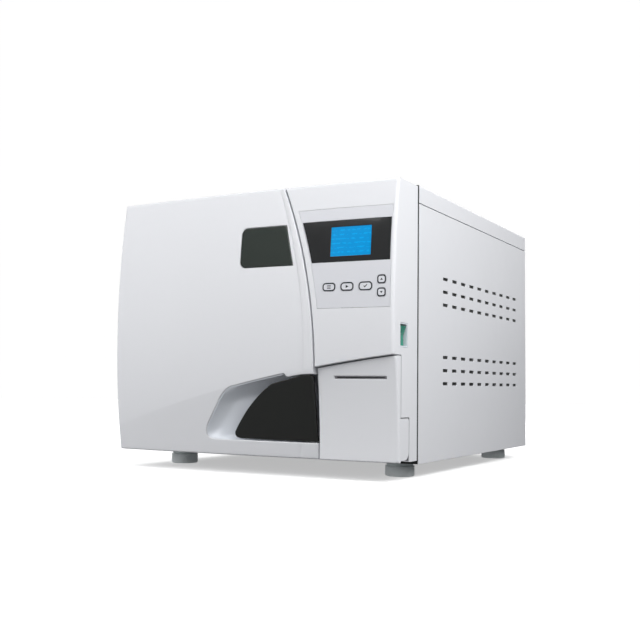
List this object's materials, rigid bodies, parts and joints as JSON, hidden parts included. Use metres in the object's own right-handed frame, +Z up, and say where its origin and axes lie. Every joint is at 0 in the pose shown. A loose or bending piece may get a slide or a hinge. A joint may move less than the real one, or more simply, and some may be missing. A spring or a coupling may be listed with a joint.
{
  "type": "benchtop autoclave",
  "caption": "Benchtop steam steriliser: vented sheet housing on levelling feet, round chamber with trays, swinging curved door, control fascia and drop-down service door.",
  "frame": {"origin": "centre of the bounding box, on the surface that the feet stand on", "axes": "+Z up, front (door side) towards -Y, +X to the right seen from the front"},
  "size_m": [0.484, 0.64, 0.421],
  "materials": {
    "casing_plastic": "satin near-white moulded plastic",
    "powder_coat": "fine-textured light powder coat",
    "zinc_steel": "zinc-plated steel",
    "stainless": "brushed stainless steel",
    "dark_steel": "dark painted steel",
    "black_plastic": "satin black plastic",
    "display_black": "glossy black acrylic",
    "lcd_blue": "backlit blue display",
    "keypad_film": "matt pale film",
    "recess_grey": "satin grey plastic",
    "smoked_window": "dark smoked acrylic",
    "rocker_green": "translucent green plastic",
    "foot_rubber": "grey rubber",
    "silicone": "pale silicone",
    "circuit_board": "green solder mask",
    "felt": "mineral felt",
    "heater_film": "silicone heater band",
    "tank_plastic": "translucent polyethylene",
    "paper": "thermal paper",
    "brass": "machined brass"
  },
  "bodies": {
    "housing": {"base_plate": "zinc_steel", "left_side_panel": "powder_coat", "right_side_panel": "powder_coat", "top_cover": "powder_coat", "rear_panel": "powder_coat", "front_frame": "dark_steel", "chamber_vessel": "stainless", "chamber_flange": "stainless", "heating_band": "heater_film", "chamber_insulation": "felt", "tray_rack": "stainless", "lower_tray": "stainless", "middle_tray": "stainless", "upper_tray": "stainless", "hinge_bracket": "zinc_steel", "lock_keeper": "zinc_steel", "control_fascia": "casing_plastic", "keypad_overlay": "keypad_film", "display_window": "display_black", "lcd_module": "lcd_blue", "display_board": "circuit_board", "power_switch_body": "recess_grey", "service_bay": "casing_plastic", "bacteria_filter": "tank_plastic", "water_tank": "tank_plastic", "steam_generator": "stainless", "vacuum_pump": "dark_steel", "water_pump": "brass", "condenser": "zinc_steel", "fan_frame": "black_plastic", "main_board": "circuit_board", "power_transformer": "dark_steel", "power_inlet": "black_plastic", "safety_valve": "brass"},
    "chamber_door": {"door_cover": "casing_plastic", "door_inner_panel": "casing_plastic", "door_window": "smoked_window", "door_arm": "zinc_steel", "door_plate": "stainless", "door_gasket": "silicone", "handle_recess": "recess_grey"},
    "handle": {"door_handle": "black_plastic", "lock_hook": "zinc_steel"},
    "service_flap": {"service_door": "casing_plastic", "printer": "black_plastic"},
    "paper": {"paper_roll": "paper"},
    "menu_button": {"menu_key": "keypad_film"},
    "start_button": {"start_key": "keypad_film"},
    "confirm_button": {"confirm_key": "keypad_film"},
    "up_button": {"up_key": "keypad_film"},
    "down_button": {"down_key": "keypad_film"},
    "rocker": {"power_rocker": "rocker_green"},
    "tank_lid": {"fill_lid": "powder_coat"},
    "clean_knob": {"clean_drain_knob": "black_plastic"},
    "waste_knob": {"waste_drain_knob": "black_plastic"},
    "fan": {"fan_rotor": "black_plastic"},
    "foot_front_left": {"front_left_foot": "foot_rubber"},
    "foot_front_right": {"front_right_foot": "foot_rubber"},
    "foot_rear_left": {"rear_left_foot": "foot_rubber"},
    "foot_rear_right": {"rear_right_foot": "foot_rubber"}
  },
  "joints": [
    {"name": "chamber_door_hinge", "type": "hinge", "parent": "housing", "child": "chamber_door", "pos_m": [-0.23, -0.237, 0.226], "axis": [0, 0, -1], "range_deg": [0, 100]},
    {"name": "handle_turn", "type": "hinge", "parent": "chamber_door", "child": "handle", "pos_m": [0.109, -0.29791, 0.098], "axis": [0, -0.1676, 0.9859], "range_deg": [0, 45]},
    {"name": "service_flap_hinge", "type": "hinge", "parent": "housing", "child": "service_flap", "pos_m": [0.1825, -0.271, 0.042], "axis": [1, 0, 0], "range_deg": [0, 85]},
    {"name": "paper_roll_spin", "type": "hinge", "parent": "service_flap", "child": "paper", "pos_m": [0.188, -0.278, 0.12], "axis": [1, 0, 0], "continuous": true},
    {"name": "menu_key_press", "type": "slide", "parent": "housing", "child": "menu_button", "axis": [0, 1, 0], "range_m": [0, 0.0006], "stiffness_N_per_m": 1500, "springref_m": -0.0003},
    {"name": "start_key_press", "type": "slide", "parent": "housing", "child": "start_button", "axis": [0, 1, 0], "range_m": [0, 0.0006], "stiffness_N_per_m": 1500, "springref_m": -0.0003},
    {"name": "confirm_key_press", "type": "slide", "parent": "housing", "child": "confirm_button", "axis": [0, 1, 0], "range_m": [0, 0.0006], "stiffness_N_per_m": 1500, "springref_m": -0.0003},
    {"name": "up_key_press", "type": "slide", "parent": "housing", "child": "up_button", "axis": [0, 1, 0], "range_m": [0, 0.0006], "stiffness_N_per_m": 1500, "springref_m": -0.0003},
    {"name": "down_key_press", "type": "slide", "parent": "housing", "child": "down_button", "axis": [0, 1, 0], "range_m": [0, 0.0006], "stiffness_N_per_m": 1500, "springref_m": -0.0003},
    {"name": "power_rocker_tilt", "type": "hinge", "parent": "housing", "child": "rocker", "pos_m": [0.234, -0.2774, 0.201], "axis": [0, -1, 0], "range_deg": [0, 16]},
    {"name": "tank_lid_hinge", "type": "hinge", "parent": "housing", "child": "tank_lid", "pos_m": [0.165, 0.0314, 0.421], "axis": [-1, 0, 0], "range_deg": [0, 95]},
    {"name": "clean_drain_turn", "type": "hinge", "parent": "housing", "child": "clean_knob", "pos_m": [0.143, -0.261, 0.065], "axis": [0, 1, 0], "range_deg": [0, 90]},
    {"name": "waste_drain_turn", "type": "hinge", "parent": "housing", "child": "waste_knob", "pos_m": [0.175, -0.261, 0.065], "axis": [0, 1, 0], "range_deg": [0, 90]},
    {"name": "fan_spin", "type": "hinge", "parent": "housing", "child": "fan", "pos_m": [-0.08, 0.289, 0.311], "axis": [0, 1, 0], "continuous": true},
    {"name": "front_left_foot_screw", "type": "hinge", "parent": "housing", "child": "foot_front_left", "pos_m": [-0.196, -0.1854, 0.011], "axis": [0, 0, 1], "continuous": true},
    {"name": "front_right_foot_screw", "type": "hinge", "parent": "housing", "child": "foot_front_right", "pos_m": [0.196, -0.1854, 0.011], "axis": [0, 0, 1], "continuous": true},
    {"name": "rear_left_foot_screw", "type": "hinge", "parent": "housing", "child": "foot_rear_left", "pos_m": [-0.196, 0.2415, 0.011], "axis": [0, 0, 1], "continuous": true},
    {"name": "rear_right_foot_screw", "type": "hinge", "parent": "housing", "child": "foot_rear_right", "pos_m": [0.196, 0.2415, 0.011], "axis": [0, 0, 1], "continuous": true}
  ]
}
